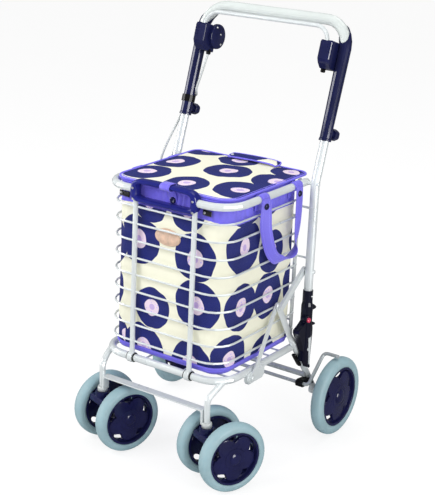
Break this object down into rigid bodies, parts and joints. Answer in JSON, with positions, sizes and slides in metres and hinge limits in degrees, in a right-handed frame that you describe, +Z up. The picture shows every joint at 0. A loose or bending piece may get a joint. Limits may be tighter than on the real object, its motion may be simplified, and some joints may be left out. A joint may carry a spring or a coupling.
{
  "type": "shopping rollator",
  "caption": "Folding shopping rollator with a wire basket, a lidded cloth bag, an adjustable handle, a brake bar, twin front casters and fixed rear wheels.",
  "frame": {"origin": "centre of the bounding box, at floor level", "axes": "+Z up, -Y the way the cart rolls (casters in front), +X the left of the person who pushes it"},
  "size_m": [0.476, 0.5196, 0.9221],
  "materials": {
    "white_enamel": "smooth white enamel",
    "white_grip_tube": "smooth white sleeve over a bent tube",
    "navy_moulding": "semi-gloss navy moulding",
    "wheel_hub_moulding": "satin navy moulding",
    "grey_tyre": "matt grey-blue solid tyre",
    "black_moulding": "matt black",
    "red_button": "gloss red",
    "cable_sheath": "white cable sheath",
    "printed_cloth": "woven cloth, cream ground with a large navy print and violet trims"
  },
  "bodies": {
    "chassis": {"bottom_ring": "white_enamel", "caster_crossbar": "white_enamel", "rear_cross_tube": "white_enamel", "side_stay_left": "white_enamel", "side_stay_right": "white_enamel", "rear_leg_left": "white_enamel", "rear_leg_right": "white_enamel", "rod_bearing_left": "black_moulding", "rod_bearing_right": "black_moulding", "bag": "printed_cloth"},
    "posts": {"post_left": "white_enamel", "post_right": "white_enamel", "lock_housing_left": "navy_moulding", "lock_housing_right": "navy_moulding", "rear_grille": "white_enamel", "brake_cable_lower": "cable_sheath"},
    "rim": {"rim_left": "white_enamel", "rim_right": "white_enamel"},
    "front_gate": {"front_tube_left": "white_enamel", "front_tube_right": "white_enamel", "front_handle": "navy_moulding"},
    "handle": {"handle_grip": "white_grip_tube", "handle_sleeve_left": "navy_moulding", "handle_sleeve_right": "navy_moulding", "brake_bracket_left": "navy_moulding", "brake_bracket_right": "navy_moulding", "cable_clip": "black_moulding", "brake_cable_upper": "cable_sheath"},
    "brake_bar": {"brake_bar": "white_enamel"},
    "brake_rod": {"brake_rod": "white_enamel"},
    "lid": {"lid": "printed_cloth"},
    "wire_1": {"wire_1": "white_enamel"},
    "wire_2": {"wire_2": "white_enamel"},
    "wire_3": {"wire_3": "white_enamel"},
    "wire_4": {"wire_4": "white_enamel"},
    "wire_5": {"wire_5": "white_enamel"},
    "wire_6": {"wire_6": "white_enamel"},
    "wire_7": {"wire_7": "white_enamel"},
    "wire_8": {"wire_8": "white_enamel"},
    "wire_9": {"wire_9": "white_enamel"},
    "stay_channel_left": {"stay_channel_left": "white_enamel"},
    "stay_channel_right": {"stay_channel_right": "white_enamel"},
    "clamp_knob_left": {"clamp_knob_left": "navy_moulding"},
    "clamp_knob_right": {"clamp_knob_right": "navy_moulding"},
    "lock_button_left": {"lock_button_left": "red_button"},
    "lock_button_right": {"lock_button_right": "red_button"},
    "caster_left": {"caster_fork_left": "navy_moulding"},
    "caster_wheel_left_outer": {"caster_hub_left_outer": "wheel_hub_moulding", "caster_tyre_left_outer": "grey_tyre"},
    "caster_wheel_left_inner": {"caster_hub_left_inner": "wheel_hub_moulding", "caster_tyre_left_inner": "grey_tyre"},
    "caster_right": {"caster_fork_right": "navy_moulding"},
    "caster_wheel_right_outer": {"caster_hub_right_outer": "wheel_hub_moulding", "caster_tyre_right_outer": "grey_tyre"},
    "caster_wheel_right_inner": {"caster_hub_right_inner": "wheel_hub_moulding", "caster_tyre_right_inner": "grey_tyre"},
    "rear_wheel_left": {"rear_hub_left": "wheel_hub_moulding", "rear_tyre_left": "grey_tyre"},
    "rear_wheel_right": {"rear_hub_right": "wheel_hub_moulding", "rear_tyre_right": "grey_tyre"}
  },
  "joints": [
    {"name": "fold", "type": "hinge", "parent": "chassis", "child": "posts", "pos_m": [0, 0.0896, 0.22], "axis": [1, 0, 0], "range_deg": [0, 72], "deforming": ["bag", "brake_cable_lower"]},
    {"name": "rim_level", "type": "hinge", "parent": "posts", "child": "rim", "pos_m": [0, 0.0992, 0.5865], "axis": [1, 0, 0], "range_deg": [-72, 0]},
    {"name": "wire_1_level", "type": "hinge", "parent": "posts", "child": "wire_1", "pos_m": [0, 0.09824, 0.54985], "axis": [1, 0, 0], "range_deg": [-72, 0]},
    {"name": "wire_2_level", "type": "hinge", "parent": "posts", "child": "wire_2", "pos_m": [0, 0.09728, 0.5132], "axis": [1, 0, 0], "range_deg": [-72, 0]},
    {"name": "wire_3_level", "type": "hinge", "parent": "posts", "child": "wire_3", "pos_m": [0, 0.09632, 0.47655], "axis": [1, 0, 0], "range_deg": [-72, 0]},
    {"name": "wire_4_level", "type": "hinge", "parent": "posts", "child": "wire_4", "pos_m": [0, 0.09536, 0.4399], "axis": [1, 0, 0], "range_deg": [-72, 0]},
    {"name": "wire_5_level", "type": "hinge", "parent": "posts", "child": "wire_5", "pos_m": [0, 0.0944, 0.40325], "axis": [1, 0, 0], "range_deg": [-72, 0]},
    {"name": "wire_6_level", "type": "hinge", "parent": "posts", "child": "wire_6", "pos_m": [0, 0.09344, 0.3666], "axis": [1, 0, 0], "range_deg": [-72, 0]},
    {"name": "wire_7_level", "type": "hinge", "parent": "posts", "child": "wire_7", "pos_m": [0, 0.09248, 0.32995], "axis": [1, 0, 0], "range_deg": [-72, 0]},
    {"name": "wire_8_level", "type": "hinge", "parent": "posts", "child": "wire_8", "pos_m": [0, 0.09152, 0.2933], "axis": [1, 0, 0], "range_deg": [-72, 0]},
    {"name": "wire_9_level", "type": "hinge", "parent": "posts", "child": "wire_9", "pos_m": [0, 0.09056, 0.25665], "axis": [1, 0, 0], "range_deg": [-72, 0]},
    {"name": "gate_fold", "type": "hinge", "parent": "chassis", "child": "front_gate", "pos_m": [0, -0.1824, 0.22], "axis": [1, 0, 0], "range_deg": [0, 72]},
    {"name": "channel_left_turn", "type": "hinge", "parent": "posts", "child": "stay_channel_left", "pos_m": [0.182, 0.09628, 0.395], "axis": [1, 0, 0], "range_deg": [0, 103.2]},
    {"name": "channel_right_turn", "type": "hinge", "parent": "posts", "child": "stay_channel_right", "pos_m": [-0.182, 0.09628, 0.395], "axis": [1, 0, 0], "range_deg": [0, 103.2]},
    {"name": "handle_height", "type": "slide", "parent": "posts", "child": "handle", "axis": [0, 0.3123, 0.95], "range_m": [0, 0.08]},
    {"name": "clamp_knob_left_turn", "type": "hinge", "parent": "handle", "child": "clamp_knob_left", "pos_m": [0.182, 0.13503, 0.6891], "axis": [0, 0.95, -0.3123], "range_deg": [0, 360]},
    {"name": "clamp_knob_right_turn", "type": "hinge", "parent": "handle", "child": "clamp_knob_right", "pos_m": [-0.182, 0.13503, 0.6891], "axis": [0, 0.95, -0.3123], "range_deg": [0, 360]},
    {"name": "brake_bar_pull", "type": "hinge", "parent": "handle", "child": "brake_bar", "pos_m": [0, 0.1513, 0.84586], "axis": [-1, 0, 0], "range_deg": [0, 18], "stiffness_Nm_per_rad": 1.2, "springref_deg": -20.05},
    {"name": "brake_rod_press", "type": "hinge", "parent": "chassis", "child": "brake_rod", "pos_m": [0, 0.1096, 0.125], "axis": [-1, 0, 0], "range_deg": [0, 2.6]},
    {"name": "lock_button_left_press", "type": "slide", "parent": "posts", "child": "lock_button_left", "axis": [-1, 0, 0], "range_m": [0, 0.003], "stiffness_N_per_m": 600, "springref_m": -0.001},
    {"name": "lock_button_right_press", "type": "slide", "parent": "posts", "child": "lock_button_right", "axis": [1, 0, 0], "range_m": [0, 0.003], "stiffness_N_per_m": 600, "springref_m": -0.001},
    {"name": "caster_left_swivel", "type": "hinge", "parent": "chassis", "child": "caster_left", "pos_m": [0.139, -0.2029, 0.13], "axis": [0, 0, 1], "continuous": true},
    {"name": "caster_wheel_left_outer_roll", "type": "hinge", "parent": "caster_left", "child": "caster_wheel_left_outer", "pos_m": [0.19321, -0.18844, 0.075], "axis": [0.9222, -0.3867, 0], "continuous": true},
    {"name": "caster_wheel_left_inner_roll", "type": "hinge", "parent": "caster_left", "child": "caster_wheel_left_inner", "pos_m": [0.11132, -0.1541, 0.075], "axis": [0.9222, -0.3867, 0], "continuous": true},
    {"name": "caster_right_swivel", "type": "hinge", "parent": "chassis", "child": "caster_right", "pos_m": [-0.139, -0.2029, 0.13], "axis": [0, 0, 1], "continuous": true},
    {"name": "caster_wheel_right_outer_roll", "type": "hinge", "parent": "caster_right", "child": "caster_wheel_right_outer", "pos_m": [-0.17038, -0.15639, 0.075], "axis": [0.9494, -0.314, 0], "continuous": true},
    {"name": "caster_wheel_right_inner_roll", "type": "hinge", "parent": "caster_right", "child": "caster_wheel_right_inner", "pos_m": [-0.08608, -0.18428, 0.075], "axis": [0.9494, -0.314, 0], "continuous": true},
    {"name": "rear_wheel_left_roll", "type": "hinge", "parent": "chassis", "child": "rear_wheel_left", "pos_m": [0.2205, 0.1711, 0.089], "axis": [1, 0, 0], "continuous": true},
    {"name": "rear_wheel_right_roll", "type": "hinge", "parent": "chassis", "child": "rear_wheel_right", "pos_m": [-0.2205, 0.1711, 0.089], "axis": [1, 0, 0], "continuous": true},
    {"name": "lid_open", "type": "hinge", "parent": "rim", "child": "lid", "pos_m": [0, 0.1326, 0.5948], "axis": [-1, 0, 0], "range_deg": [0, 90]}
  ],
  "couplings": [
    {"joint": "rim_level", "follows": "fold", "ratio": -1},
    {"joint": "wire_1_level", "follows": "fold", "ratio": -1},
    {"joint": "wire_2_level", "follows": "fold", "ratio": -1},
    {"joint": "wire_3_level", "follows": "fold", "ratio": -1},
    {"joint": "wire_4_level", "follows": "fold", "ratio": -1},
    {"joint": "wire_5_level", "follows": "fold", "ratio": -1},
    {"joint": "wire_6_level", "follows": "fold", "ratio": -1},
    {"joint": "wire_7_level", "follows": "fold", "ratio": -1},
    {"joint": "wire_8_level", "follows": "fold", "ratio": -1},
    {"joint": "wire_9_level", "follows": "fold", "ratio": -1},
    {"joint": "gate_fold", "follows": "fold", "ratio": 1},
    {"joint": "channel_left_turn", "follows": "fold", "ratio": 1.4321},
    {"joint": "channel_right_turn", "follows": "fold", "ratio": 1.4321},
    {"joint": "brake_rod_press", "follows": "brake_bar_pull", "ratio": 0.14444}
  ]
}
